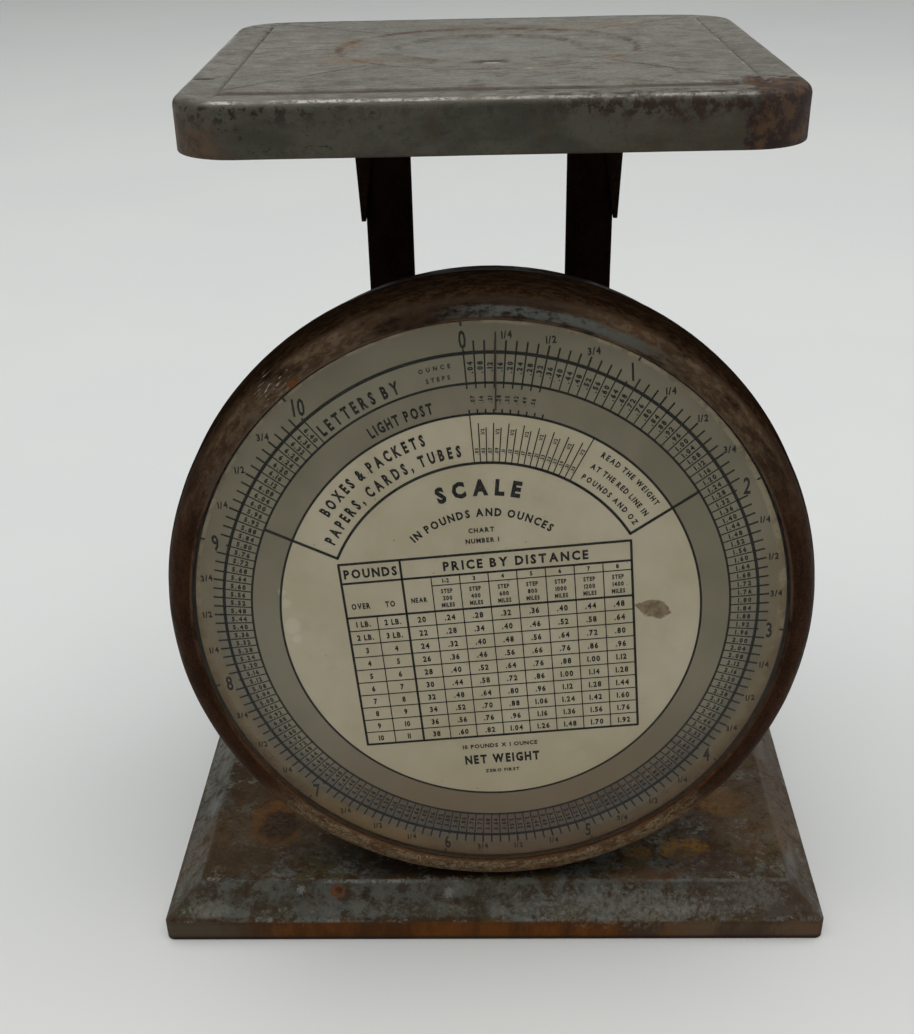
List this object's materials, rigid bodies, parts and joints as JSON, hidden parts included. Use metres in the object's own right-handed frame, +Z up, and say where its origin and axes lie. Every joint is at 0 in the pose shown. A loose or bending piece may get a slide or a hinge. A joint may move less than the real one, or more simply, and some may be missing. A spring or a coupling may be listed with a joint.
{
  "type": "letter scale",
  "caption": "Spring letter scale: square platform on two flat legs above a round glazed dial that turns, driven by a rack and pinion, on a square pressed-steel base.",
  "frame": {"origin": "centre of the base's underside, on the table", "axes": "+Z up, the dial faces -Y, +X to the right of someone reading the dial"},
  "size_m": [0.203, 0.203, 0.2318],
  "materials": {
    "base_paint": "grey enamel, mottled with rust",
    "platform_paint": "worn grey enamel, rust at corners and rings",
    "dark_paint": "dark enamel",
    "drum_black": "black enamel, half gloss",
    "bezel_rust": "thin rust over grey enamel",
    "leg_rust": "near-black enamel with fine rust",
    "lens_clear": "clear, hazed at the edge",
    "dial_print": "printed cream and grey-green, aged",
    "hairline_red": "dark red-brown paint",
    "steel": "plain steel, dulled",
    "spring_steel": "spring wire",
    "brass": "turned brass, dulled",
    "rubber_black": "matt"
  },
  "bodies": {
    "stand": {"base_plate": "base_paint", "housing_front": "dark_paint", "housing_cover": "dark_paint", "housing_cap": "dark_paint", "mech_frame": "steel", "drum_shell": "drum_black", "drum_bezel": "bezel_rust", "dial_lens": "lens_clear", "lens_retainer": "rubber_black", "hairline_index": "hairline_red", "front_bush": "brass", "rear_bush": "brass", "arbor_bridge": "steel", "upper_frame_pin": "steel", "lower_frame_pin": "steel", "pin_collars": "steel", "stop_bumper": "rubber_black", "base_screws": "steel", "frame_screws": "steel", "drum_screws": "steel", "bridge_screws": "steel", "cap_screws": "steel"},
    "platform": {"platform_pan": "platform_paint", "platform_bracket": "leg_rust", "strap_left": "leg_rust", "strap_right": "leg_rust", "upper_yoke": "steel", "lower_yoke": "steel", "strap_rivets": "steel", "bracket_rivets": "steel", "rack_bar": "steel", "rack_pin": "steel", "rack_leaf_spring": "spring_steel", "yoke_pins": "steel"},
    "dial": {"dial_plate": "dial_print", "dial_hub": "brass", "dial_arbor": "steel", "pinion_gear": "brass"},
    "hanger": {"spring_hanger": "steel", "spring_left": "spring_steel", "spring_right": "spring_steel"},
    "zero_adjuster": {"zero_screw": "steel", "zero_knob": "brass"},
    "upper_link": {"upper_check_link": "steel"},
    "lower_link": {"lower_check_link": "steel"}
  },
  "joints": [
    {"name": "platform_slide", "type": "slide", "parent": "stand", "child": "platform", "axis": [0, 0, -1], "range_m": [0, 0.0209], "stiffness_N_per_m": 2090, "springref_m": -0.00236, "deforming": ["spring_left", "spring_right"]},
    {"name": "dial_turn", "type": "hinge", "parent": "stand", "child": "dial", "pos_m": [0, -0.089, 0.1038], "axis": [0, -1, 0], "range_deg": [-0.5, 319.83]},
    {"name": "upper_link_swing", "type": "hinge", "parent": "stand", "child": "upper_link", "pos_m": [0, 0.028, 0.108], "axis": [1, 0, 0], "range_deg": [-0.5, 28.44]},
    {"name": "lower_link_swing", "type": "hinge", "parent": "stand", "child": "lower_link", "pos_m": [0, 0.028, 0.046], "axis": [1, 0, 0], "range_deg": [-0.5, 28.44]},
    {"name": "zero_turn", "type": "hinge", "parent": "stand", "child": "zero_adjuster", "pos_m": [0, -0.008, 0.152], "axis": [0, 0, 1], "range_deg": [-360.5, 360.5]},
    {"name": "hanger_lift", "type": "slide", "parent": "stand", "child": "hanger", "axis": [0, 0, 1], "range_m": [-0.0005, 0.0005]}
  ],
  "couplings": [
    {"joint": "dial_turn", "follows": "platform_slide", "rad_per_m": 266.67},
    {"joint": "upper_link_swing", "follows": "platform_slide", "rad_per_m": 23.336},
    {"joint": "lower_link_swing", "follows": "platform_slide", "rad_per_m": 23.336},
    {"joint": "zero_turn", "follows": "hanger_lift", "rad_per_m": -12566}
  ]
}
